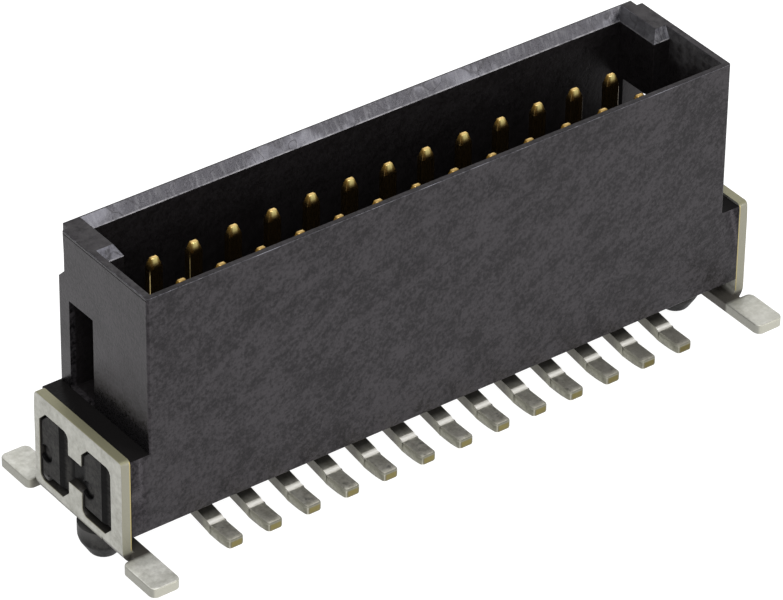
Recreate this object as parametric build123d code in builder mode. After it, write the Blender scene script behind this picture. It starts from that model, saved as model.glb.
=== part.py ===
from build123d import *
import os

os.makedirs("parts", exist_ok=True)

# A two-row shrouded pin strip for soldering on the surface of a board.
# X runs along the strip, Y from the front row to the rear row, Z up from the board.
# The origin is the middle of the pin field, level with the undersides of the solder feet.
# All sizes are in millimetres.

# Pin field
pitch = 1.27
row_spacing = 1.27
contacts_per_row = 13

# Contacts
pin_width = 0.42
pin_gauge = 0.25
pin_height = 7.25
tip_height = 0.30
tip_width = 0.20
tip_gauge = 0.11
hole_clearance = 0.01
lead_width = 0.48
lead_gauge = 0.345
lead_reach = 3.08
heel_rise = 0.24
heel_radius = 0.42
throat_radius = 0.14
foot_gauge = 0.28
foot_width = 0.53
foot_length = 0.88
foot_step = 0.16
toe_corner = 0.07
toe_taper = 0.09

# Housing: base, shroud and cavity
standoff = 0.80
base_height = 2.49
base_margin = 2.63
ledge_length = 0.60
shroud_height = 4.91
cavity_depth = 3.74
front_wall = 0.165
rear_wall = 0.25
end_wall = 0.20
corner_radius = 0.07

# End blocks that narrow the cavity behind the front row
left_block = 0.93
right_block = 0.765
block_reach = 1.51

# Lead-in slope along the rear wall and the end blocks
lead_in_width = 0.21
lead_in_depth = 0.35

# Windows through the end blocks
window_width = 1.10
window_height = 2.80
window_inset = 0.25

# Notches at the two rear corners of the rim
notch_width = 0.20
notch_depth = 0.28
notch_height = 1.25
notch_slope = 0.33
notch_lean = 0.05

# Locating pegs, each with a thicker root that stands on the board
peg_inset = 0.45
peg_diameter = 1.42
peg_reach = 1.05
peg_tip_diameter = 0.72
peg_taper = 0.57
peg_root_diameter = 1.54
peg_root_draft = 0.05

# Solder clips
clip_gauge = 0.29
clip_clearance = 0.01
clip_height = 3.02
clip_bend = 0.48
clip_rise = 0.32
clip_rear_inset = 0.055
clip_corner = 0.14
tab_length = 0.98
tab_inset = 0.77
pad_length = 1.45
pad_shoulder = 0.165
pad_overhang = 0.15
pad_corner = 0.20
relief_inset = 0.25
pad_edge = 0.05

# H-shaped bosses that hold the clips
boss_height = 2.24
boss_width = 1.36
boss_spacing = 1.99
boss_middle = 0.175
boss_level = 1.70
boss_corner = 0.30
boss_rounding = 0.20
bridge_height = 0.87
boss_gap = 0.03
boss_recess = 0.05
boss_ramp_length = 0.46
boss_ramp_depth = 0.19
dimple_diameter = 0.48
dimple_depth = 0.09
dimple_shift = 0.44
dimple_drop = 0.21

# Levels and faces that follow from the sizes above
row_y = row_spacing / 2
field_length = pitch * (contacts_per_row - 1)
ledge_top = standoff + base_height
rim = ledge_top + shroud_height
housing_depth = front_wall + cavity_depth + rear_wall
front_face = -cavity_depth / 2 - front_wall
rear_face = cavity_depth / 2 + rear_wall
middle_y = (front_face + rear_face) / 2
base_end = field_length / 2 + base_margin
shroud_end = base_end - ledge_length
clip_inner = base_end + clip_clearance
clip_outer = clip_inner + clip_gauge
boss_face = clip_outer - boss_recess


def cavity_outline(flare_x, flare_y):
    """Outline of the cavity, with the rear wall and the end blocks set back by the flare."""
    end = shroud_end - end_wall
    left = shroud_end - left_block + flare_x
    right = shroud_end - right_block + flare_x
    step = cavity_depth / 2 - block_reach + flare_y
    rear = cavity_depth / 2 + flare_y
    return [
        (-end, -cavity_depth / 2),
        (end, -cavity_depth / 2),
        (end, step),
        (right, step),
        (right, rear),
        (-left, rear),
        (-left, step),
        (-end, step),
    ]


def h_profile(inset):
    """The H shared by a boss and its window, drawn with X to the rear and Y up."""
    width = boss_width - 2 * inset
    height = boss_height - 2 * inset
    with BuildSketch() as profile:
        with Locations((-boss_spacing / 2, 0), (boss_spacing / 2, 0)):
            with BuildSketch(mode=Mode.PRIVATE) as pad:
                Rectangle(width, height)
                corners = pad.vertices().sort_by(lambda v: v.X * height + v.Y * width)
                chamfer([corners[0], corners[-1]], boss_corner)
                rounded = pad.vertices().sort_by(lambda v: v.X - v.Y)
                fillet([rounded[0], rounded[-1]], boss_rounding)
            add(pad.sketch)
        Rectangle(boss_spacing, bridge_height - 2 * inset)
    return profile.sketch


# Housing, moulded in one piece
with BuildPart() as housing:
    with BuildSketch(Plane.XY.offset(standoff)):
        with Locations((0, middle_y)):
            Rectangle(2 * base_end, housing_depth)
    extrude(amount=base_height)
    with BuildSketch(Plane.XY.offset(ledge_top)):
        with Locations((0, middle_y)):
            RectangleRounded(2 * shroud_end, housing_depth, corner_radius)
    extrude(amount=shroud_height)

    # Cavity, open at the top, down to the level of the ledges
    with BuildSketch(Plane.XY.offset(ledge_top)):
        with BuildLine():
            Polyline(*cavity_outline(0, 0), close=True)
        make_face()
    extrude(amount=shroud_height, mode=Mode.SUBTRACT)

    # Lead-in slope, a loft from the cavity's own outline to the flared one at the rim
    with BuildSketch(Plane.XY.offset(rim - lead_in_depth)):
        with BuildLine():
            Polyline(*cavity_outline(0, 0), close=True)
        make_face()
    with BuildSketch(Plane.XY.offset(rim)):
        with BuildLine():
            Polyline(*cavity_outline(lead_in_width, lead_in_width), close=True)
        make_face()
    loft(ruled=True, mode=Mode.SUBTRACT)

    # Windows through both end blocks
    window_y = cavity_depth / 2 - window_inset - window_width / 2
    with BuildSketch(Plane.YZ):
        with Locations((window_y, ledge_top + window_height / 2)):
            Rectangle(window_width, window_height)
    extrude(amount=shroud_end, both=True, mode=Mode.SUBTRACT)

    # Notches at the rear corners, with a leaning wall and a sloping foot
    for side in (-1, 1):
        with BuildSketch(Plane.YZ.offset(side * (shroud_end - notch_width))):
            with BuildLine():
                Polyline(
                    (rear_face - notch_depth, rim),
                    (rear_face - notch_depth - notch_lean, rim - notch_height),
                    (rear_face, rim - notch_height - notch_slope),
                    (rear_face + notch_depth, rim - notch_height - notch_slope),
                    (rear_face + notch_depth, rim),
                    close=True,
                )
            make_face()
        extrude(amount=side * 2 * notch_width, mode=Mode.SUBTRACT)

    # Bosses on both ends, each pad with a round dimple and a ramp, and a lower bridge between the pads
    pad_reach = boss_width / 2 - boss_gap
    front_pad_y = boss_middle - boss_spacing / 2
    rear_pad_y = boss_middle + boss_spacing / 2
    for side in (-1, 1):
        with BuildSketch(Plane.YZ.offset(side * base_end)):
            with Locations((boss_middle, boss_level)):
                add(h_profile(boss_gap))
        extrude(amount=side * (boss_face - base_end))
        with BuildSketch(Plane.YZ.offset(side * boss_face)):
            with Locations((dimple_shift, boss_level - dimple_drop)):
                with Locations((front_pad_y, 0), (rear_pad_y, 0)):
                    Circle(dimple_diameter / 2)
        extrude(amount=-side * dimple_depth, mode=Mode.SUBTRACT)
        crest = side * boss_face
        low = side * (boss_face - boss_ramp_depth)
        with BuildSketch(Plane.XY.offset(boss_level - boss_height / 2)):
            with BuildLine():
                Polyline(
                    (crest, front_pad_y - pad_reach + boss_ramp_length),
                    (low, front_pad_y - pad_reach),
                    (crest, front_pad_y - pad_reach),
                    close=True,
                )
            make_face()
            with BuildLine():
                Polyline(
                    (crest, rear_pad_y - pad_reach + boss_ramp_length),
                    (low, rear_pad_y - pad_reach),
                    (low, front_pad_y + pad_reach),
                    (crest, front_pad_y + pad_reach),
                    close=True,
                )
            make_face()
        extrude(amount=boss_height, mode=Mode.SUBTRACT)

    # Pegs under the ends; their roots are turned first and then cut flat to clear the clips
    for side in (-1, 1):
        peg_x = side * (base_end - peg_inset)
        peg_plane = Plane(origin=(peg_x, 0, 0), x_dir=(1, 0, 0), z_dir=(0, -1, 0))
        with BuildSketch(peg_plane):
            with BuildLine():
                Polyline(
                    (0, 0),
                    (peg_root_diameter / 2, 0),
                    (peg_root_diameter / 2 + peg_root_draft, standoff),
                    (0, standoff),
                    close=True,
                )
            make_face()
        revolve(axis=Axis((peg_x, 0, 0), (0, 0, 1)))
        with BuildSketch():
            with Locations((side * (base_end - clip_clearance + peg_root_diameter / 2), 0)):
                Rectangle(peg_root_diameter, 2 * peg_root_diameter)
        extrude(amount=standoff, mode=Mode.SUBTRACT)
        with BuildSketch(peg_plane):
            with BuildLine():
                Polyline(
                    (0, 0),
                    (peg_diameter / 2, 0),
                    (peg_diameter / 2, peg_taper - peg_reach),
                    (peg_tip_diameter / 2, -peg_reach),
                    (0, -peg_reach),
                    close=True,
                )
            make_face()
        revolve(axis=Axis((peg_x, 0, 0), (0, 0, 1)))

    # Rectangular holes for the contacts
    with BuildSketch(Plane.XY.offset(standoff)):
        with GridLocations(pitch, row_spacing, contacts_per_row, 2):
            Rectangle(pin_width + 2 * hole_clearance, pin_gauge + 2 * hole_clearance)
    extrude(amount=base_height, mode=Mode.SUBTRACT)

housing.part.label = "housing"
export_step(housing.part, "parts/housing.step")

# Solder clips, stamped from sheet: a plate with the H window, folded under at both ends into a foot
clip_front = front_face
clip_rear = rear_face - clip_rear_inset
clip_top = clip_rise + clip_height
strip_inner = clip_outer - tab_inset

for name, side in (("solder_clip_left", -1), ("solder_clip_right", 1)):
    plan_plane = Plane(origin=(0, 0, 0), x_dir=(side, 0, 0), z_dir=(0, 0, side))
    with BuildPart() as clip:
        # Plate, reaching lower between the folds
        with BuildSketch(Plane.YZ.offset(side * clip_inner)) as plate:
            with BuildLine():
                Polyline(
                    (clip_front, clip_bend),
                    (clip_front + tab_length, clip_bend),
                    (clip_front + tab_length, clip_rise),
                    (clip_rear - tab_length, clip_rise),
                    (clip_rear - tab_length, clip_bend),
                    (clip_rear, clip_bend),
                    (clip_rear, clip_top),
                    (clip_front, clip_top),
                    close=True,
                )
            make_face()
            fillet(plate.vertices().group_by(Axis.Y)[-1], clip_corner)
            with Locations((boss_middle, boss_level)):
                add(h_profile(0), mode=Mode.SUBTRACT)
        extrude(amount=side * clip_gauge)

        for edge, end in ((clip_front, -1), (clip_rear, 1)):
            # Fold under the housing
            tab_middle = edge - end * tab_length / 2
            fold_plane = Plane(origin=(0, tab_middle, 0), x_dir=(side, 0, 0), z_dir=(0, -side, 0))
            with BuildSketch(fold_plane) as fold:
                with BuildLine():
                    Polyline(
                        (strip_inner, 0),
                        (clip_outer, 0),
                        (clip_outer, clip_bend),
                        (clip_inner, clip_bend),
                        (clip_inner, clip_gauge),
                        (strip_inner, clip_gauge),
                        close=True,
                    )
                make_face()
                outer = fold.vertices().sort_by(lambda v: v.X - v.Y)[-1]
                fillet(outer, clip_bend)
                inner = fold.vertices().sort_by_distance((clip_inner, clip_gauge))[0]
                fillet(inner, clip_bend - clip_gauge)
            extrude(amount=tab_length / 2, both=True)

            # Foot that runs out past the housing, wider than its neck
            shoulder = edge + end * pad_shoulder
            toe = shoulder + end * pad_length
            pad_outer = clip_outer + pad_overhang
            with BuildSketch(plan_plane) as foot:
                with Locations(((strip_inner + pad_outer) / 2, (shoulder + toe) / 2)):
                    Rectangle(pad_outer - strip_inner, pad_length)
                heel = foot.vertices().sort_by_distance((strip_inner, shoulder))[0]
                fillet(foot.vertices() - [heel], pad_corner)
                neck_width = clip_outer - relief_inset - strip_inner
                with Locations((strip_inner + neck_width / 2, edge)):
                    Rectangle(neck_width, 2 * pad_shoulder)
            extrude(amount=side * clip_gauge)
            top_edges = clip.edges().filter_by_position(Axis.Z, clip_gauge - 0.01, clip_gauge + 0.01)
            fillet([e for e in top_edges if end * e.center().Y > end * shoulder], pad_edge)

    clip.part.label = name
    export_step(clip.part, f"parts/{name}.step")


def build_contact(x, out):
    """One contact at x, with its foot running out in the direction of out along Y."""
    shoulder = standoff - hole_clearance
    inner_face = row_y - lead_gauge / 2
    outer_face = row_y + lead_gauge / 2
    foot_start = lead_reach - foot_length - foot_step
    slope = heel_rise / (foot_start - inner_face)
    throat = lead_gauge + slope * (foot_start - outer_face)
    with BuildPart() as contact:
        # Lead, cut from a side profile
        side_plane = Plane(origin=(x, 0, 0), x_dir=(0, out, 0), z_dir=(out, 0, 0))
        with BuildSketch(side_plane) as profile:
            with BuildLine():
                Polyline(
                    (inner_face, shoulder),
                    (inner_face, heel_rise),
                    (foot_start, 0),
                    (foot_start + foot_step, 0),
                    (foot_start + foot_step, foot_gauge),
                    (foot_start, lead_gauge),
                    (outer_face, throat),
                    (outer_face, shoulder),
                    close=True,
                )
            make_face()
            heel = profile.vertices().sort_by_distance((inner_face, heel_rise))[0]
            fillet(heel, heel_radius)
            inside = profile.vertices().sort_by_distance((outer_face, throat))[0]
            fillet(inside, throat_radius)
        extrude(amount=lead_width / 2, both=True)

        # Foot, pressed thinner and so a little wider, with tapered toe corners
        with BuildSketch(Plane(origin=(x, 0, 0), x_dir=(0, out, 0), z_dir=(0, 0, 1))):
            with BuildLine():
                Polyline(
                    (foot_start, lead_width / 2),
                    (foot_start + foot_step, foot_width / 2),
                    (lead_reach - toe_taper, foot_width / 2),
                    (lead_reach, foot_width / 2 - toe_corner),
                    (lead_reach, toe_corner - foot_width / 2),
                    (lead_reach - toe_taper, -foot_width / 2),
                    (foot_start + foot_step, -foot_width / 2),
                    (foot_start, -lead_width / 2),
                    close=True,
                )
            make_face()
        extrude(amount=foot_gauge)

        # Flat pin with a four-sided tip
        shaft_top = pin_height - tip_height
        with BuildSketch(Plane.XY.offset(shoulder)):
            with Locations((x, out * row_y)):
                Rectangle(pin_width, pin_gauge)
        extrude(amount=shaft_top - shoulder)
        with BuildSketch(Plane.XY.offset(shaft_top)):
            with Locations((x, out * row_y)):
                Rectangle(pin_width, pin_gauge)
        with BuildSketch(Plane.XY.offset(pin_height)):
            with Locations((x, out * row_y)):
                Rectangle(tip_width, tip_gauge)
        loft(ruled=True)
    return contact.part


# Two rows of contacts, numbered from the left
for row, out in (("front", -1), ("rear", 1)):
    for number in range(1, contacts_per_row + 1):
        contact = build_contact((number - 1) * pitch - field_length / 2, out)
        contact.label = f"contact_{row}_{number:02d}"
        export_step(contact, f"parts/{contact.label}.step")
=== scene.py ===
# %% [markdown]
# # A two-row pin strip with a shroud
# This is a small connector that is soldered on the surface of a circuit board. Twenty-six contacts
# stand in two rows inside a moulded black shroud, and two sheet-metal clips hold the ends down.
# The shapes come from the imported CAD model, in metres, and this script gives them soft edges and
# finishes. It could also be drawn by hand in Blender, but then its sizes would drift from the CAD.

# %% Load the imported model
import math
import bpy
import bmesh
from mathutils import Matrix, Vector


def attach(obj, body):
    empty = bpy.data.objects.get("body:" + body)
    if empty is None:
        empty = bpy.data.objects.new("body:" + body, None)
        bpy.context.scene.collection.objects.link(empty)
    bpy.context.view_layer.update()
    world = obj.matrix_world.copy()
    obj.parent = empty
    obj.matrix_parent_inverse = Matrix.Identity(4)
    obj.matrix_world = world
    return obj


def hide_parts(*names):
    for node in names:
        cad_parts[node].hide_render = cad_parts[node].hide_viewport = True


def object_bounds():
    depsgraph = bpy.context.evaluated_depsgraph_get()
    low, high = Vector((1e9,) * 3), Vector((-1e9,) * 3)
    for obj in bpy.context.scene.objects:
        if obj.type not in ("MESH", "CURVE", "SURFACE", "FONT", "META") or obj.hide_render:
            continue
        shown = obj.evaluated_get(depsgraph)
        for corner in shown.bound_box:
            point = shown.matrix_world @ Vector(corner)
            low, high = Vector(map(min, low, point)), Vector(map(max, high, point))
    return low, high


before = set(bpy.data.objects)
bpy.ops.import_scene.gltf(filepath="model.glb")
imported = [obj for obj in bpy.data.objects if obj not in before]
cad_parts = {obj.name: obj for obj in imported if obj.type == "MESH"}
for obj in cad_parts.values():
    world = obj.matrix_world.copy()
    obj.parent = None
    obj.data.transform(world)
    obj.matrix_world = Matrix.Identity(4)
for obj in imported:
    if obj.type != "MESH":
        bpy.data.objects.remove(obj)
cad_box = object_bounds()
MM = 0.001


def in_mm(corners):
    """Corners in metres as rounded millimetres, for printing."""
    return [[round(value / MM, 2) for value in corner] for corner in corners]


print("nodes:", len(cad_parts), "box in mm:", in_mm(cad_box))

# %% [markdown]
# ## The camera
# A catalogue picture of a small part is taken from well back with a long lens, so its parallel
# edges stay nearly parallel. The camera stands in front and to the left, about 35 degrees up. Its
# axes are written as three directions, because that is exact, where three angles would be rounded.

# %% Place the camera
camera_right = Vector((0.803258, -0.595515, 0.011744))
camera_up = Vector((0.333346, 0.465798, 0.819703))
camera_back = Vector((-0.493616, -0.654519, 0.572669))
camera_place = Vector((-73.445, -96.988, 88.099)) * MM
focal_length = 251.26
sensor_width = 36
nearest, farthest = 0.01, 10


def add_object(name, data):
    """Puts a camera, a lamp or a mesh into the scene as an object."""
    thing = bpy.data.objects.new(name, data)
    bpy.context.scene.collection.objects.link(thing)
    return thing


camera_data = bpy.data.cameras.new("camera")
camera_data.sensor_width = sensor_width
camera_data.lens = focal_length
camera_data.clip_start, camera_data.clip_end = nearest, farthest
camera = add_object("camera", camera_data)
turn = Matrix((camera_right, camera_up, camera_back)).transposed().to_4x4()
camera.matrix_world = Matrix.Translation(camera_place) @ turn
bpy.context.scene.camera = camera
print("camera is", round(camera_place.length / MM), "mm from the origin")

# %% [markdown]
# ## The floor
# The strip stands on white card, on the ends of its two locating pegs. Black plastic shows almost
# nothing but reflections, so the card glows a little, and its reflection lights the upright faces.
# It could be lit with lamps alone, but they would leave bright streaks on the metal and a grey
# floor.

# %% Lay the floor
card_size = 1.5
floor_level = cad_box[0].z

card = bmesh.new()
bmesh.ops.create_grid(card, x_segments=1, y_segments=1, size=card_size)
bmesh.ops.translate(card, verts=card.verts, vec=(0, 0, floor_level))
floor_mesh = bpy.data.meshes.new("floor")
card.to_mesh(floor_mesh)
card.free()
floor = add_object("floor", floor_mesh)
print("floor at", round(floor_level / MM, 3), "mm")

# %% Make the card glow
card_grey = (0.25, 0.25, 0.25)
card_glow = (1.0, 1.0, 1.0)
card_look = {
    "Base Color": (*card_grey, 1),
    "Roughness": 0.9,
    "Specular IOR Level": 0.0,
    "Emission Color": (*card_glow, 1),
    "Emission Strength": 0.96,
}

card_white = bpy.data.materials.new("white_card")
card_white.use_nodes = True
card_shader = card_white.node_tree.nodes["Principled BSDF"]
for setting, value in card_look.items():
    card_shader.inputs[setting].default_value = value
floor_mesh.materials.append(card_white)
print("card glows at", card_look["Emission Strength"])

# %% [markdown]
# ## The lamps and the room
# A large soft lamp overhead shades the forms, and a small low one in front on the right lights the
# toes of the leads. A weak one stands behind, where a level face mirrors it into the camera, and
# gives the rim and the feet a faint gloss. One large lamp could light it all, but then the level
# faces would look as dull as the walls. The room is an even white, slightly dimmer than the card,
# for the faces that look up.

# %% Hang the lamps
def soft_lamp(name, towards, distance, size, power):
    """A rectangular lamp in that direction from the strip, facing it."""
    data = bpy.data.lights.new(name, "AREA")
    data.shape = "RECTANGLE"
    data.size, data.size_y = size
    data.energy = power
    lamp = add_object(name, data)
    direction = Vector(towards).normalized()
    lamp.location = direction * distance
    lamp.rotation_euler = direction.to_track_quat("Z", "Y").to_euler()
    print(name, "at", [round(v, 3) for v in lamp.location])


soft_lamp("overhead_lamp", (-0.35, -0.55, 0.9), distance=0.55, size=(0.30, 0.30), power=1.6)
soft_lamp("low_lamp", (0.497, -0.809, 0.30), distance=0.40, size=(0.12, 0.08), power=0.45)
soft_lamp("rear_lamp", (0.494, 0.655, 0.573), distance=0.50, size=(0.16, 0.16), power=0.14)

# %% Shade the room
room_white = (1.0, 1.0, 1.0)
room_strength = 0.70

studio = bpy.data.worlds.new("studio")
bpy.context.scene.world = studio
studio.use_nodes = True
room_light = studio.node_tree.nodes["Background"]
room_light.inputs["Color"].default_value = (*room_white, 1)
room_light.inputs["Strength"].default_value = room_strength
bpy.context.scene.view_settings.view_transform = "Standard"
print("room at", room_strength)

# %% [markdown]
# ## Soft edges
# No moulded or stamped edge is perfectly sharp: each one has a small radius that catches the
# light. The CAD keeps its edges sharp, because that keeps it light. A bevel node in the material
# could fake the radius, but it would not be in the mesh, so each piece here is a copy of its CAD
# solid whose loose triangles are merged, joined into flat faces and bevelled.

# %% Take a clean copy of the housing
merge_distance = 0.0005  # in millimetres
flat_angle = 1  # in degrees, as the next two
smooth_angle = 13
turned_angle = 45
underside = 0.80  # height of the housing's underside in millimetres


def clean_copy(node, turned_below=-math.inf):
    """A copy of the CAD node in millimetres, joined into flat faces, with its sharp edges marked.

    Edges wholly under turned_below are on turned surfaces and stay smooth up to a larger angle."""
    form = bmesh.new()
    form.from_mesh(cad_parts[node].data)
    bmesh.ops.scale(form, vec=(1 / MM,) * 3, verts=form.verts)
    bmesh.ops.remove_doubles(form, verts=form.verts, dist=merge_distance)
    bmesh.ops.dissolve_limit(
        form, verts=form.verts, edges=form.edges,
        angle_limit=math.radians(flat_angle), delimit={"NORMAL"},
    )
    for edge in form.edges:
        limit = turned_angle if max(v.co.z for v in edge.verts) < turned_below else smooth_angle
        edge.smooth = edge.is_manifold and edge.calc_face_angle(0) < math.radians(limit)
    return form


form = clean_copy("housing", turned_below=underside + 0.01)
sharp = sum(not edge.smooth for edge in form.edges)
print("housing faces:", len(form.faces), "sharp edges:", sharp)

# %% [markdown]
# ## The housing
# The housing is one moulding, and the radius differs from edge to edge: wide on the pegs and on
# the bosses that the clips were pressed over, and narrow on the rim. One bevel could take all
# edges at once, but Blender narrows a bevel everywhere to fit the tightest of its edges, so they
# are bevelled in groups. Each group is picked by a test of where its edges lie, which is easier to
# read and to change than a list of edge numbers.

# %% Round the bosses
boss_face = 10.50  # distance in x from the middle


def soften(form, wanted, over, width, steps, clamp=True):
    """Bevels the edges sharper than over degrees that pass a test of their lower and upper end.

    If clamped, the width in millimetres is narrowed to fit the tightest of them. Returns how many
    edges there were."""
    chosen = []
    for edge in form.edges:
        if edge.is_manifold and edge.calc_face_angle(0) > math.radians(over):
            low_end, high_end = sorted((v.co for v in edge.verts), key=lambda co: co.z)
            if wanted(edge, low_end, high_end):
                chosen.append(edge)
    for edge in chosen:
        edge.smooth = True
    bmesh.ops.bevel(
        form, geom=chosen, offset=width, offset_type="OFFSET", affect="EDGES",
        segments=steps, profile=0.5, material=-1, clamp_overlap=clamp,
    )
    return len(chosen)


def nearest_x(*ends):
    """The distance in x from the middle of the strip to the nearest of the ends."""
    return min(abs(end.x) for end in ends)


def on_boss_outline(edge, low_end, high_end):
    """Round a boss's flat face, which has more than five corners."""
    flat = [face for face in edge.link_faces if abs(face.normal.x) > 0.9]
    at_face = nearest_x(low_end, high_end) > boss_face - 0.06
    return at_face and flat and all(len(face.verts) > 5 for face in flat)


count = soften(form, on_boss_outline, over=60, width=0.05, steps=3, clamp=False)
print("boss edges:", count, "faces now:", len(form.faces))

# %% Round the pegs
def on_peg_ring(edge, low_end, high_end):
    """On a level ring of a peg, below the solder feet."""
    return high_end.z < -0.1 and high_end.z - low_end.z < 0.001


count = soften(form, on_peg_ring, over=14, width=0.13, steps=4)
print("peg edges:", count, "faces now:", len(form.faces))

# %% Soften the shroud and the base
rim = 8.20  # heights in millimetres
ledge = 3.29
base_end = 10.25  # distance in x from the middle


def on_shroud(edge, low_end, high_end):
    """On the shroud, apart from the edges that lie wholly on its rear wall."""
    above_base, before_rear_wall = 4.7, 1.6
    return high_end.z > above_base and min(low_end.y, high_end.y) < before_rear_wall


def on_base(edge, low_end, high_end):
    """At the outer end of a ledge, or along the underside of the base."""
    on_ledge = nearest_x(low_end, high_end) > base_end - 0.05 and abs(high_end.z - ledge) < 0.1
    underneath = edge.calc_length() > 5 and high_end.z < underside + 0.1
    return edge.calc_length() > 0.5 and (on_ledge or underneath)


count = soften(form, on_shroud, over=30, width=0.02, steps=2)
count += soften(form, on_base, over=30, width=0.03, steps=2)
print("shroud and base edges:", count, "faces now:", len(form.faces))

# %% [markdown]
# The ledges outside the shroud and the floor of the cavity lie at one height and meet through the
# windows in the end walls, so in the clean copy they are one face. They get different finishes
# later. A mask in the material could tell them apart, but a cut where the shroud ends makes them
# two faces, and then each can have a slot.

# %% Part the ledges from the cavity floor
shroud_end = 9.65  # distance in x from the middle


def cut_across(form, axis, place):
    """Cuts the form across an axis, 0 for x and 1 for y, at a place to each side of the middle."""
    normal = Vector((0, 0, 0))
    normal[axis] = 1
    for point in (-place * normal, place * normal):
        everything = [*form.verts, *form.edges, *form.faces]
        bmesh.ops.bisect_plane(form, geom=everything, plane_co=point, plane_no=normal)


cut_across(form, 0, shroud_end)
print("faces after the cuts:", len(form.faces))

# %% [markdown]
# A flat face that is shaded smooth looks puffy beside its bevels. More steps in the bevels would
# hide that, at the cost of many faces. Here a modifier weights the normals by the area of the
# faces, which keeps the flats flat with few faces.

# %% Turn the housing's form into a piece
def finished_piece(form, name, node):
    """Turns the form, in millimetres, into an object in metres that stands for the CAD node."""
    bmesh.ops.scale(form, vec=(MM,) * 3, verts=form.verts)
    mesh = bpy.data.meshes.new(name)
    form.to_mesh(mesh)
    form.free()
    for face in mesh.polygons:
        face.use_smooth = True
    piece = add_object(name, mesh)
    flatten = piece.modifiers.new("flat_faces", "WEIGHTED_NORMAL")
    flatten.mode = "FACE_AREA"
    flatten.weight = 100
    flatten.keep_sharp = True
    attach(piece, "root")
    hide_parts(node)
    return piece


shell = finished_piece(form, "moulded_housing", "housing")
print("housing faces:", len(shell.data.polygons))

# %% [markdown]
# ## The clips
# Each clip is one folded sheet: an upright plate whose two windows hold it on the bosses, and two
# feet for the solder. The plate could be modelled here as a thick outline with holes, but the CAD
# has its folds and corners already. Stamping rounds a sheet's edges on one side, so only the edges
# of the plate's outer face are bevelled.

# %% Soften the clips
clip_face = 10.55  # distance in x from the middle


def on_plate_face(edge, low_end, high_end):
    """On the outer face of the plate, above the fold of the feet."""
    fold_top = 0.5
    return nearest_x(low_end, high_end) > clip_face - 0.05 and low_end.z > fold_top


clips = []
for side in ("left", "right"):
    node = f"solder_clip_{side}"
    form = clean_copy(node)
    soften(form, on_plate_face, over=30, width=0.03, steps=2)
    clips.append(finished_piece(form, f"stamped_clip_{side}", node))
print("clip faces:", [len(clip.data.polygons) for clip in clips])

# %% [markdown]
# ## The contacts
# A contact is stamped and bent from strip. Its pin has a tapered tip, so that the mating contact
# finds it, and its lead ends in a foot whose toe was cut off last. One softened contact could be
# copied 26 times, but each is made from its own CAD node, so that none can drift from it. The tip,
# the pin and the foot get edges of their own width. The foot's edges run into the bend of the
# lead, where a bevel would be narrowed to almost nothing, so a cut across the heel gives it a
# place to stop.

# %% Choose the pin's edges
tip_top = 7.25  # height in millimetres


def on_tip(edge, low_end, high_end):
    """Round the flat top of the pin."""
    return low_end.z > tip_top - 0.05


def on_pin(edge, low_end, high_end):
    """Up the four corners of the pin and its taper."""
    lead_top = 0.7
    return lead_top < low_end.z < tip_top - 0.15 and high_end.z - low_end.z > 0.2


print("the pin ends at", tip_top, "mm")

# %% Choose the foot's edges
heel = 2.26  # distances in y from the middle
toe_from = 2.9
foot_below = 0.35  # height in millimetres


def nearest_y(*ends):
    """The distance in y from the middle of the strip to the nearest of the ends."""
    return min(abs(end.y) for end in ends)


def on_toe_corner(edge, low_end, high_end):
    """Up the two corners of the toe."""
    at_toe = nearest_y(low_end, high_end) > toe_from and high_end.z < foot_below
    return at_toe and high_end.z - low_end.z > 0.2


def on_toe_rim(edge, low_end, high_end):
    """Along the top of the foot, and round the toe at its top and bottom."""
    out = nearest_y(low_end, high_end)
    level = high_end.z - low_end.z < 0.01 and high_end.z < foot_below
    return level and out > heel - 0.01 and (high_end.z > 0.2 or out > toe_from)


print("the foot starts at", heel, "mm and its toe at", toe_from, "mm")

# %% Soften the contacts
contacts = []
for row in ("front", "rear"):
    for number in range(1, 14):
        node = f"contact_{row}_{number:02d}"
        form = clean_copy(node)
        soften(form, on_tip, over=30, width=0.05, steps=3)
        soften(form, on_pin, over=30, width=0.03, steps=2)
        cut_across(form, 1, heel)
        soften(form, on_toe_corner, over=30, width=0.05, steps=3)
        soften(form, on_toe_rim, over=60, width=0.06, steps=3, clamp=False)
        contacts.append(finished_piece(form, f"formed_{node}", node))
print("contacts:", len(contacts), "faces of the first:", len(contacts[0].data.polygons))

# %% [markdown]
# ## Finishes
# Each finish is a node tree that reads Object coordinates, so its pattern stays on the part from
# any side. The nodes first turn metres into millimetres, because a pattern is easier to judge in
# the units of the part. The trees could be drawn in the shader editor, but written as sums and
# products they can be read, and one small helper makes each kind of node. A socket knows the tree
# it belongs to, so the helpers need only sockets and numbers.

# %% Start a finish
def feed(socket, value):
    """Lets a node's input read a socket, or holds it at a number, a vector or a colour."""
    if isinstance(value, bpy.types.NodeSocket):
        socket.id_data.links.new(value, socket)
    elif socket.type == "RGBA":
        socket.default_value = (*value, 1)
    else:
        socket.default_value = value


def new_finish(name):
    """A material, its shader, where a point of the surface is in millimetres, and how it faces."""
    material = bpy.data.materials.new(name)
    material.use_nodes = True
    nodes = material.node_tree.nodes
    place = nodes.new("ShaderNodeTexCoord")
    millimetres = nodes.new("ShaderNodeVectorMath")
    millimetres.operation = "SCALE"
    feed(millimetres.inputs["Scale"], 1 / MM)
    feed(millimetres.inputs[0], place.outputs["Object"])
    shader = nodes["Principled BSDF"]
    return material, shader, millimetres.outputs["Vector"], place.outputs["Normal"]


def components(vector):
    """The x, y and z of a vector."""
    split = vector.id_data.nodes.new("ShaderNodeSeparateXYZ")
    feed(split.inputs["Vector"], vector)
    return split.outputs["X"], split.outputs["Y"], split.outputs["Z"]


print("a finish scales its place by", round(1 / MM))

# %% Make a pattern
noise_roughness = 0.6


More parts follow.
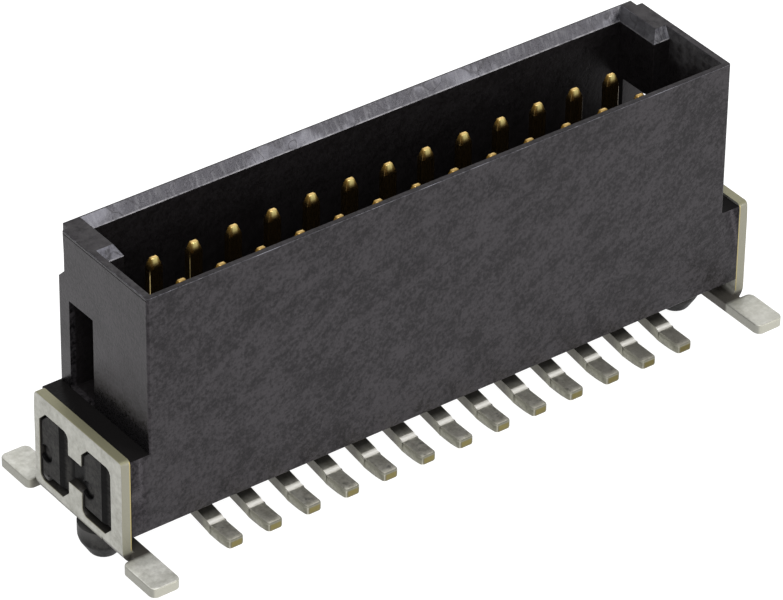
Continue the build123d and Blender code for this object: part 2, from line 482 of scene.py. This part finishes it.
def grain(where, scale, detail=3.0, stretch=(1, 1, 1), turn=(0, 0, 0)):
    """A noise with scale grains to a millimetre, stretched, and turned in degrees, if asked."""
    nodes = where.id_data.nodes
    if stretch != (1, 1, 1) or turn != (0, 0, 0):
        mapping = nodes.new("ShaderNodeMapping")
        mapping.vector_type = "TEXTURE"
        feed(mapping.inputs["Rotation"], [math.radians(angle) for angle in turn])
        feed(mapping.inputs["Scale"], stretch)
        feed(mapping.inputs["Vector"], where)
        where = mapping.outputs["Vector"]
    noise = nodes.new("ShaderNodeTexNoise")
    settings = {"Vector": where, "Scale": scale, "Detail": detail, "Roughness": noise_roughness}
    for setting, value in settings.items():
        feed(noise.inputs[setting], value)
    return noise.outputs["Fac"]


print("each finer layer of a pattern counts", noise_roughness, "of the one before")

# %% Make a mask
def remap(value, low, high, to_low=0.0, to_high=1.0):
    """Stretches the range low to high of a value over to_low to to_high, and clamps it."""
    node = value.id_data.nodes.new("ShaderNodeMapRange")
    settings = {"From Min": low, "From Max": high, "To Min": to_low, "To Max": to_high}
    for setting, amount in settings.items():
        feed(node.inputs[setting], amount)
    feed(node.inputs["Value"], value)
    return node.outputs["Result"]


def calculate(operation, first, second):
    """Arithmetic on two values, of which one may be a plain number."""
    socket = first if isinstance(first, bpy.types.NodeSocket) else second
    node = socket.id_data.nodes.new("ShaderNodeMath")
    node.operation = operation
    feed(node.inputs[0], first)
    feed(node.inputs[1], second)
    return node.outputs["Value"]


def product(first, *others):
    """All the values multiplied, so that a mask holds only where each of them does."""
    for other in others:
        first = calculate("MULTIPLY", first, other)
    return first


def strongest(first, *others):
    """The largest of the values."""
    for other in others:
        first = calculate("MAXIMUM", first, other)
    return first


def away(value, middle=0.0):
    """How far a value is from a middle, to either side."""
    return calculate("ABSOLUTE", calculate("SUBTRACT", value, middle), 0.0)


def weighted(first, second, share):
    """A mean of two values with that share of the second."""
    return calculate("ADD", product(first, 1 - share), product(second, share))


helpers = (remap, calculate, product, strongest, away, weighted)
print("helpers for masks:", [helper.__name__ for helper in helpers])

# %% Mix colours and dress a piece
# A Mix node keeps its colours in these inputs and this output, after those for numbers.
first_colour, second_colour, mixed_colour = 6, 7, 2


def blend(share, first, second):
    """Mixes two colours, with the second's share from 0 to 1."""
    node = share.id_data.nodes.new("ShaderNodeMix")
    node.data_type = "RGBA"
    feed(node.inputs["Factor"], share)
    feed(node.inputs[first_colour], first)
    feed(node.inputs[second_colour], second)
    return node.outputs[mixed_colour]


def source(shader, setting):
    """The socket that an input of the shader reads at present."""
    return shader.inputs[setting].links[0].from_socket


def raise_surface(shader, height, depth):
    """Bumps the surface by a height pattern, to a depth in millimetres."""
    bump = height.id_data.nodes.new("ShaderNodeBump")
    feed(bump.inputs["Distance"], depth * MM)
    feed(bump.inputs["Height"], height)
    feed(shader.inputs["Normal"], bump.outputs["Normal"])
    return bump


def dress(pieces, material):
    """Gives the pieces one material, in place of any that they have."""
    for piece in pieces:
        piece.data.materials.clear()
        piece.data.materials.append(material)


print("a Mix node's colours are inputs", first_colour, "and", second_colour)

# %% [markdown]
# ## Black moulded plastic
# The housing is a glass-filled plastic that stands the heat of soldering. Its skin is matt, with a
# fine grain, faint slanting flow streaks and a few short fibres at the surface. It could be
# painted with one colour, but then the large front face would look like card. Roughness alone
# would not show the grain in this even light, so the grain is in the colour too.

# %% A recipe for the plastic
def mix_plastic(name, darkest, palest, gloss):
    """Plastic with a grain from the darkest to the palest colour, and a tint for its gloss."""
    material, shader, where, facing = new_finish(name)
    fine = grain(where, scale=11)
    specks = grain(where, scale=24, detail=2)
    cloud = grain(where, scale=0.8)
    streaks = grain(where, scale=2.6, detail=4, stretch=(1.7, 1.0, 0.60), turn=(0, -31, 0))
    uneven = weighted(fine, streaks, 0.38)
    tone = blend(remap(weighted(uneven, cloud, 0.2), 0.43, 0.57), darkest, palest)
    fibre = tuple(2.2 * part for part in palest)
    tone = blend(product(remap(specks, 0.62, 0.74), 0.5), tone, fibre)
    feed(shader.inputs["Base Color"], tone)
    feed(shader.inputs["Specular Tint"], gloss)
    feed(shader.inputs["Roughness"], remap(uneven, 0.3, 0.7, 0.30, 0.48))
    feed(shader.inputs["IOR"], 1.5)
    raise_surface(shader, uneven, 0.012)
    print(name, "nodes:", len(material.node_tree.nodes))
    return material, shader, where, facing


plastic, shader, where, facing = mix_plastic(
    "black_plastic",
    darkest=(0.0012, 0.0010, 0.0012), palest=(0.0250, 0.0228, 0.0248), gloss=(0.80, 0.74, 0.80),
)
feed(shader.inputs["Specular IOR Level"], 0.31)
dress([shell], plastic)

# %% [markdown]
# The rim top is painted a little pale, a painted sheen, less along the front, and a ragged patch
# on the inside of the right end wall is painted paler. The cavity is painted darkest, a painted
# shade, and the foot of the left end wall is smoother and painted dark, a painted reflection of
# the dark ledge. Each of these is a mask, a product of ranges of height, place and direction. They
# could be painted on an image, but that would need the mesh to be unwrapped.

# %% Paint a sheen on the rim
rim_sheen_grey = (0.045, 0.043, 0.044)

x, y, z = components(where)
face_x, face_y, face_z = components(facing)
# Painted sheen: the level rim top is painted paler and mottled where it would mirror the light,
# less along the front.
rim_sheen = product(
    remap(z, rim - 0.05, rim - 0.01),
    remap(face_z, 0.6, 0.9),
    remap(grain(where, scale=4, detail=4), 0.38, 0.62, 0.1, 0.8),
    remap(y, -1.90, -1.80, 0.2, 1),
)
base = blend(rim_sheen, source(shader, "Base Color"), rim_sheen_grey)
print("rim rubbed down to", round(rim - 0.05, 2), "mm")

# %% Paint shade into the cavity
cavity_side = 1.87  # distance in y from the middle
cavity_end = 9.45  # and in x
slope_foot = 7.85  # height of the lower edge of the slopes
cavity_shade_black = (0.0060, 0.0052, 0.0053)

# Painted shade: the cavity is painted near black below the slopes.
cavity_shade = product(
    remap(away(y), cavity_side + 0.01, cavity_side + 0.03, 0.85, 0),
    remap(away(x), cavity_end + 0.01, cavity_end + 0.03, 1, 0),
    remap(z, slope_foot - 0.05, slope_foot + 0.05, 1, 0),
)
base = blend(cavity_shade, base, cavity_shade_black)
print("cavity darkened below", slope_foot, "mm")

# %% Smooth the foot of the left end wall and paint it dark
foot_top = 4.8  # height
wall_foot_reflection_black = (0.004, 0.0037, 0.004)

looks_left = remap(face_x, -0.9, -0.8, 1, 0)
at_foot = product(remap(z, foot_top - 0.9, foot_top, 1, 0), looks_left)
polish = product(at_foot, 0.12, remap(x, 0.03 - shroud_end, 0.05 - shroud_end, 1, 0))
rough = calculate("SUBTRACT", source(shader, "Roughness"), polish)
rough = calculate("ADD", rough, remap(z, rim - 0.04, rim - 0.01, 0, 0.2))
feed(shader.inputs["Roughness"], rough)
skin = source(shader, "Normal")
feed(skin.node.inputs["Strength"], calculate("SUBTRACT", 1.0, product(at_foot, 0.85)))
shade = remap(z, foot_top - 1.0, foot_top - 0.1, 0.9, 0)
# Painted reflection: the foot of the wall is painted dark, fading upwards, where it would mirror
# the black ledge.
base = blend(product(at_foot, shade), base, wall_foot_reflection_black)
print("foot of the wall smoothed from", ledge, "to", foot_top, "mm")

# %% Pale a ragged patch on the inside of the right end wall
pale_patch_grey = (0.075, 0.073, 0.075)

ragged = calculate("ADD", z, product(grain(where, scale=1.6, detail=4), 1.6))
in_patch = product(
    remap(ragged, 7.75, 9.1),
    remap(grain(where, scale=5, detail=4), 0.38, 0.60, 0.35, 1),
    remap(face_x, -0.9, -0.7, 1, 0),
    remap(x, cavity_end - 0.10, cavity_end - 0.05),
)
base = blend(in_patch, base, pale_patch_grey)
feed(shader.inputs["Base Color"], base)
print("plastic nodes:", len(plastic.node_tree.nodes))

# %% [markdown]
# Under the left edge of the rim runs a fine crease, as where two parts of a mould meet. It could
# be cut into the mesh, but it is so narrow that the cut would leave slivers of faces, so it is a
# bump laid over the bump of the skin.

# %% Draw the crease
crease_height = 8.125  # in millimetres, as the next two
crease_width = 0.03
crease_depth = 0.06

in_crease = product(
    remap(away(z, crease_height), 0.0, crease_width, 1, 0),
    remap(x, 0.05 - shroud_end, 0.10 - shroud_end, 1, 0),
    looks_left,
)
crease = raise_surface(shader, in_crease, crease_depth)
crease.invert = True
feed(crease.inputs["Normal"], skin)
print("crease at", crease_height, "mm")

# %% [markdown]
# ## Slopes with a painted sheen
# The lead-in slopes inside the rim are painted pale and mottled, a painted reflection of the light
# above, with fine ribs across them and a few dark nicks. They could be pieces of their own, but
# they are one moulding with the rest, so they are a slot of the same mesh.

# %% Mix the slope plastic, with a painted sheen
rib_grey = (0.26, 0.26, 0.27)
sheenless_black = (0.010, 0.010, 0.012)
sheen_white = (0.24, 0.24, 0.27)

sheened, shader, where, facing = mix_plastic(
    "sheened_plastic",
    darkest=(0.008, 0.008, 0.011), palest=(0.080, 0.079, 0.090), gloss=(0.80, 0.77, 0.84),
)
x, y, z = components(where)
face_x, face_y, face_z = components(facing)
ribs = product(remap(grain(where, scale=2.2, stretch=(0.22, 1.0, 1.0)), 0.50, 0.66), 0.45)
base = blend(ribs, source(shader, "Base Color"), rib_grey)
# Painted reflection: the slopes are painted pale and mottled where they would mirror the light
# above.
sheen = grain(where, scale=0.7)
base = blend(remap(sheen, 0.46, 0.58, 0.5, 0), base, sheenless_black)
base = blend(remap(sheen, 0.52, 0.64, 0, 0.6), base, sheen_white)
print("ribs and wear mixed")

# %% Mark the slopes
shaded_black = (0.012, 0.012, 0.013)
nick_black = (0.004, 0.004, 0.004)
near_grey = (0.24, 0.24, 0.28)
lower_edge_highlight_grey = (0.34, 0.33, 0.34)
nick_level = 0.58
nick_width = 0.016

base = blend(remap(face_x, -0.7, -0.4, 0.75, 0), base, shaded_black)
nicks = remap(away(grain(where, scale=1.1, detail=1), nick_level), 0.0, nick_width, 1, 0)
base = blend(product(nicks, 0.85), base, nick_black)
near_end = product(remap(x, -9.2, -8.6, 1, 0), remap(grain(where, scale=3), 0.46, 0.60, 0, 0.45))
base = blend(near_end, base, near_grey)
# Painted highlight: a pale line along the lower edge of the slopes, where the edge would catch the
# light.
lower_edge_highlight = product(
    remap(z, slope_foot + 0.015, slope_foot + 0.04, 1, 0),
    remap(grain(where, scale=4), 0.40, 0.60, 0.1, 0.8),
    remap(face_x, -0.5, -0.3, 0.2, 1),
)
base = blend(lower_edge_highlight, base, lower_edge_highlight_grey)
feed(shader.inputs["Base Color"], base)
print("rubbed nodes:", len(sheened.node_tree.nodes))

# %% [markdown]
# ## Pressed bosses and pegs
# The bosses on the ends are duller where the clips were pressed over them, and so are the pegs and
# the ledges. The sides of the bosses, the tongue between them, the ledges and the points of the
# pegs are painted dark, a painted shade, and the roots of the pegs are painted paler, a painted
# light where the plate would shade them. One finish with masks could do for the whole moulding,
# but these faces differ in grain and gloss too, so they get a slot of their own. Each boss has a
# shallow dimple in the mesh, and a dark ring in the finish deepens it, because in this even light
# so flat a hollow has hardly any shadow.

# %% Mix the pressed plastic
pressed_and_shaded, shader, where, facing = mix_plastic(
    "pressed_and_shaded_plastic",
    darkest=(0.014, 0.0135, 0.013), palest=(0.036, 0.035, 0.033), gloss=(0.75, 0.70, 0.75),
)
feed(shader.inputs["Specular IOR Level"], 0.03)
x, y, z = components(where)
face_x, face_y, face_z = components(facing)
out_x = away(x)
print("pressed nodes:", len(pressed_and_shaded.node_tree.nodes))

# %% Paint shadow on the bosses
middle_y = 0.175  # halfway between the bosses
boss_side_shadow_black = (0.004, 0.004, 0.004)
tongue_shadow_black = (0.006, 0.006, 0.006)

on_pad = remap(out_x, boss_face - 0.10, boss_face - 0.06)
# Painted shadow: the sides of the pads and the tongue between them are painted dark, as if shaded
# by the edges of the plate.
pad_side_shadow = product(remap(away(face_x), 0.93, 0.99, 0.9, 0), on_pad)
base = blend(pad_side_shadow, source(shader, "Base Color"), boss_side_shadow_black)
beyond_base = remap(out_x, base_end, base_end + 0.03)
tongue_shadow = product(remap(away(y, middle_y), 0.40, 0.48, 0.8, 0), beyond_base)
base = blend(tongue_shadow, base, tongue_shadow_black)
print("boss sides and tongue shaded")

# %% Paint light and shade on the pegs and the ledges
peg_root_light_grey = (0.085, 0.083, 0.081)
peg_point_shade_black = (0.010, 0.010, 0.010)
ledge_shade_black = (0.0075, 0.0070, 0.0070)

# Painted light: the root of each peg is painted paler, where the plate above would shade it.
on_root = product(remap(z, -0.50, 0.1), remap(z, underside - 0.06, underside - 0.04, 1, 0))
base = blend(on_root, base, peg_root_light_grey)
# Painted shade: the points of the pegs are painted dark.
base = blend(remap(z, -0.85, -0.40, 1, 0), base, peg_point_shade_black)
# Painted shade: the ledges are painted near black.
beside_shroud = remap(out_x, shroud_end - 0.05, shroud_end - 0.01)
on_ledge = product(remap(z, ledge - 0.09, ledge - 0.01), beside_shroud)
base = blend(on_ledge, base, ledge_shade_black)
print("pegs and ledges shaded")

# %% Ring the dimples
dimple_height = 1.49
dimples_middle = 0.615  # halfway between them in y
dimple_reach = 0.995  # from there to each
dimple_radius = 0.22
ring_black = (0.003, 0.003, 0.003)

sideways = away(away(y, dimples_middle), dimple_reach)
upwards = away(z, dimple_height)
squares = calculate("ADD", calculate("POWER", sideways, 2.0), calculate("POWER", upwards, 2.0))
from_dimple = calculate("POWER", squares, 0.5)
ring = product(remap(away(from_dimple, dimple_radius), 0.04, 0.10, 0.95, 0), beyond_base)
base = blend(ring, base, ring_black)
feed(shader.inputs["Base Color"], base)
places = [round(dimples_middle + side * dimple_reach, 2) for side in (-1, 1)]
print("dimples at y", places, "mm")

# %% Give the faces their slots
shell.data.materials.append(sheened)
shell.data.materials.append(pressed_and_shaded)
sheened_slot, pressed_and_shaded_slot = 1, 2
slope_faces = boss_faces = 0
for face in shell.data.polygons:
    middle = face.center / MM
    on_slope = middle.z > slope_foot - 0.05 and 0.35 < face.normal.z < 0.75
    on_boss = abs(middle.x) > base_end + 0.03 or middle.z < underside - 0.05
    on_ledge_top = abs(middle.x) > shroud_end + 0.01 and abs(middle.z - ledge) < 0.01
    if on_slope:
        face.material_index = sheened_slot
        slope_faces += 1
    elif on_boss or (on_ledge_top and face.normal.z > 0.9):
        face.material_index = pressed_and_shaded_slot
        boss_faces += 1
print("slope faces:", slope_faces, "boss faces:", boss_faces)

# %% [markdown]
# ## Matt tin
# The clips are plated with matt tin, which takes solder well. It is a warm light grey and scatters
# light widely. The cut edges are bare and a little yellow. The tops of the feet are painted the
# brightest, a painted light, and the metal under the housing and deep in the windows is painted
# dark, a painted shadow. Masks for these could be painted by hand, but the surface's own
# direction and height place them exactly, and stay right if a size changes.

# %% Make masks for the clip
tin, shader, where, facing = new_finish("matt_tin")
x, y, z = components(where)
face_x, face_y, face_z = components(facing)
out_x, out_y = away(x), away(y)
mottled = weighted(grain(where, scale=1.8, detail=4), grain(where, scale=6, detail=4), 0.5)
mottled = remap(mottled, 0.38, 0.62)
fine = grain(where, scale=18)
looks_x = remap(away(face_x), 0.55, 0.75)
looks_y = remap(away(face_y), 0.55, 0.75)
looks_z = remap(away(face_z), 0.55, 0.75)
low = remap(z, 0.31, 0.40, 1, 0)
high = remap(z, 0.40, 0.45)
beyond_plate = remap(out_y, 2.20, 2.32)
print("tin masks made")

# %% Brighten the feet with painted light
plate_darker, plate_paler = (0.27, 0.268, 0.235), (0.40, 0.397, 0.36)
lit_foot_darker, lit_foot_paler = (0.52, 0.515, 0.46), (0.84, 0.835, 0.78)
shaded_foot_tin = (0.36, 0.355, 0.31)

tone = blend(mottled, plate_darker, plate_paler)
# Painted light: the tops of the feet, which face the lamps, are painted brightest, and the rear
# and right feet a little darker, a painted shade.
foot_top = product(low, remap(out_y, 2.30, 2.75, 0.25, 1), remap(face_z, 0.55, 0.80))
foot = blend(mottled, lit_foot_darker, lit_foot_paler)
shaded_feet = strongest(remap(y, -2.0, 2.0, 0, 0.35), remap(x, -5.0, 5.0, 0, 0.55))
tone = blend(foot_top, tone, blend(shaded_feet, foot, shaded_foot_tin))
print("feet brightened")

# %% Colour the cut edges
cut_tin = (0.24, 0.232, 0.18)
foot_end_tin = (0.40, 0.393, 0.335)
shadow_tin = (0.07, 0.064, 0.055)
edge_brass = (0.42, 0.34, 0.13)
foot_side_tin = (0.27, 0.267, 0.235)
top_cut_tin = (0.245, 0.235, 0.15)

tone = blend(looks_y, tone, cut_tin)
tone = blend(product(looks_y, low, beyond_plate), tone, foot_end_tin)
tone = blend(product(low, calculate("SUBTRACT", 1.0, beyond_plate)), tone, shadow_tin)
edge_line = product(looks_y, high, remap(out_x, base_end + 0.02, base_end + 0.05, 1, 0))
tone = blend(edge_line, tone, edge_brass)
tone = blend(product(looks_x, low, beyond_plate), tone, foot_side_tin)
tone = blend(product(looks_z, high), tone, top_cut_tin)
print("cut edges coloured")

# %% Paint shade into the insides of the windows
window_level = 1.70  # height of the windows' middle
reach_y, reach_z = 1.74, 1.19  # from the middle to their outermost edges
window_shade, window_shallow = (0.022, 0.020, 0.017), (0.36, 0.34, 0.24)

# Painted shade: the walls of the windows are painted near black, all but their outermost edge,
# which shows the bare cut metal.
in_window = product(
    remap(away(y, middle_y), reach_y - 0.04, reach_y, 1, 0),
    remap(away(z, window_level), reach_z - 0.04, reach_z, 1, 0),
    remap(looks_x, 0.2, 0.6, 1, 0),
)
outermost = remap(out_x, clip_face - 0.03, clip_face)
tone = blend(in_window, tone, blend(outermost, window_shade, window_shallow))
feed(shader.inputs["Base Color"], tone)
feed(shader.inputs["Metallic"], 0.45)
feed(shader.inputs["Roughness"], remap(fine, 0.3, 0.7, 0.40, 0.56))
raise_surface(shader, fine, 0.006)
dress(clips, tin)
print("tin nodes:", len(tin.node_tree.nodes))

# %% [markdown]
# ## Contacts, gold above and tin below
# A contact is stamped from bronze. Its pin is plated with gold, where it touches the mating
# contact, and its lead with tin, for the solder. The sides of the lead are painted darker than its
# top, a painted shade, and the toe, which was cut off after plating, shows the bare metal. The
# pins and leads could have a material each, but one does both: it changes inside the base of the
# housing, where the change is hidden.

# %% Find the parts of a contact
pitch = 1.27  # from one contact to the next, in millimetres

plating, shader, where, facing = new_finish("contact_plating")
x, y, z = components(where)
face_x, face_y, face_z = components(facing)
out_y, ends_y, sides_x = away(y), away(face_y), away(face_x)
is_pin = remap(z, 0.9, 1.1)
is_tip = remap(z, tip_top - 0.25, tip_top - 0.06)
looks_side = remap(sides_x, 0.45, 0.75)
print("pin and tip found")

# %% Measure across each contact
pitches_to_shift = 16.5

# What is left of x over the pitch repeats from pin to pin. The shift keeps it above zero.
repeated = calculate("MODULO", calculate("ADD", x, pitches_to_shift * pitch), pitch)
across = away(repeated, pitch / 2)
print("x is shifted by", round(pitches_to_shift * pitch, 3), "mm")

# %% Find the edges that shine
glint = product(
    remap(face_y, -0.85, -0.40, 1, 0),
    remap(across, 0.05, 0.13, 1, 0),
    remap(z, tip_top - 0.27, tip_top - 0.15),
    remap(y, 0.0, 0.1),
)
corner = product(
    remap(product(face_x, face_y), 0.30, 0.45),
    is_pin,
    remap(z, tip_top - 0.50, tip_top - 0.30, 1, 0),
    remap(x, -7.3, -5.4, 1, 0),
)
bend = product(
    remap(out_y, 2.00, 2.12),
    remap(out_y, 2.13, 2.22, 1, 0),
    remap(face_z, 0.6, 0.8),
)
print("glint, corner and bend found")

# %% Find the parts of the foot
toe_middle = 0.14  # height of the middle of the toe

toe = product(
    remap(ends_y, 0.85, 0.97),
    remap(out_y, 3.04, 3.06),
    remap(across, 0.15, 0.19, 1, 0),
    remap(away(z, toe_middle), 0.07, 0.10, 1, 0),
)
toe_rim = product(remap(product(ends_y, face_z), 0.20, 0.40), remap(out_y, 2.95, 3.00))
foot_edge = product(remap(product(sides_x, face_z), 0.15, 0.30), remap(out_y, 2.20, 2.30))
toe_frame = product(remap(ends_y, 0.75, 0.9), remap(out_y, 2.9, 2.95))
dark_patches = product(remap(grain(where, scale=3.4), 0.59, 0.68, 0, 0.55), remap(out_y, 2.2, 2.4))
print("toe, edges and dents found")

# %% Tin the lead
top_darker, top_paler = (0.58, 0.56, 0.47), (0.96, 0.94, 0.84)
side_shade_darker, side_shade_paler = (0.17, 0.165, 0.13), (0.27, 0.265, 0.215)
right_shade_tin = (0.42, 0.40, 0.34)
bend_highlight_tin = (0.98, 0.96, 0.90)
dark_patch_tin = (0.10, 0.095, 0.08)
toe_rim_shade_tin = (0.17, 0.165, 0.13)
foot_edge_shade_tin = (0.22, 0.215, 0.175)

mottled = weighted(grain(where, scale=2.4, detail=4), grain(where, scale=7, detail=4), 0.55)
mottled = remap(mottled, 0.38, 0.62)
# Painted shade: the tin and the bare toes are painted darker towards the right.
right_shade = remap(x, 1.0, 8.0, 0, 0.6)
top_tin = blend(right_shade, blend(mottled, top_darker, top_paler), right_shade_tin)
# Painted highlight: a pale band along the top of the bend in the lead.
lead = blend(bend, top_tin, bend_highlight_tin)
# Painted shade: the sides of the lead are painted darker than its top.
lead = blend(looks_side, lead, blend(mottled, side_shade_darker, side_shade_paler))
lead = blend(dark_patches, lead, dark_patch_tin)
# Painted shade: the rounded rims of the toe and the top edges of the foot are painted darker than
# the top.
lead = blend(toe_rim, lead, toe_rim_shade_tin)
lead = blend(foot_edge, lead, foot_edge_shade_tin)
print("lead tinned")

# %% Bare the toe and shade the lead under the housing
frame_bronze = (0.17, 0.16, 0.115)
near_bronze, right_shade_bronze = (0.215, 0.185, 0.075), (0.080, 0.064, 0.020)
shade_tin = (0.085, 0.080, 0.070)

lead = blend(toe_frame, lead, frame_bronze)
lead = blend(toe, lead, blend(right_shade, near_bronze, right_shade_bronze))
lit = remap(out_y, 1.75, 2.10, 0.15, 1.0)
lead = blend(lit, shade_tin, lead)
print("toe bared")

# %% Gild the pin, with painted reflections and highlights
shank_shade_darker, shank_shade_paler = (0.12, 0.08, 0.03), (0.20, 0.13, 0.05)
tip_shade_darker, tip_shade_paler = (0.26, 0.14, 0.02), (0.40, 0.24, 0.05)
cap_highlight_gold = (0.82, 0.58, 0.22)
glint_gold = (1.0, 0.84, 0.33)
corner_highlight_gold = (1.0, 0.78, 0.34)

fine = grain(where, scale=16)
cap = product(
    remap(z, tip_top - 0.06, tip_top - 0.01),
    remap(across, 0.05, 0.13, 1, 0.2),
    remap(y, -0.3, 0.0, 0.5, 1),
)
# Painted reflection: the shank and the sides of the tip are painted dark gold, where they would
# mirror the black cavity. The cap, the glint and the corner line of the first pins are painted
# highlights.
tip = blend(glint, blend(cap, blend(fine, tip_shade_darker, tip_shade_paler), cap_highlight_gold), glint_gold)
gold = blend(is_tip, blend(fine, shank_shade_darker, shank_shade_paler), tip)
gold = blend(corner, gold, corner_highlight_gold)
feed(shader.inputs["Base Color"], blend(is_pin, lead, gold))
print("pin gilded")

# %% Set how the contact shines
# Where the colour itself is the shine, the surface scatters it instead of mirroring the room.
painted = strongest(
    product(bend, 0.6), product(is_tip, 0.7), product(toe_rim, 0.7), corner, glint, foot_edge
)
feed(shader.inputs["Metallic"], remap(painted, 0, 1, 0.95, 0.25))
rough = calculate("SUBTRACT", remap(fine, 0.3, 0.7, 0.36, 0.48), product(is_pin, 0.30))
rough = calculate("ADD", rough, remap(out_y, 2.85, 3.00, 0, 0.2))
feed(shader.inputs["Roughness"], rough)
raise_surface(shader, fine, 0.006)
dress(contacts, plating)
print("plating nodes:", len(plating.node_tree.nodes))
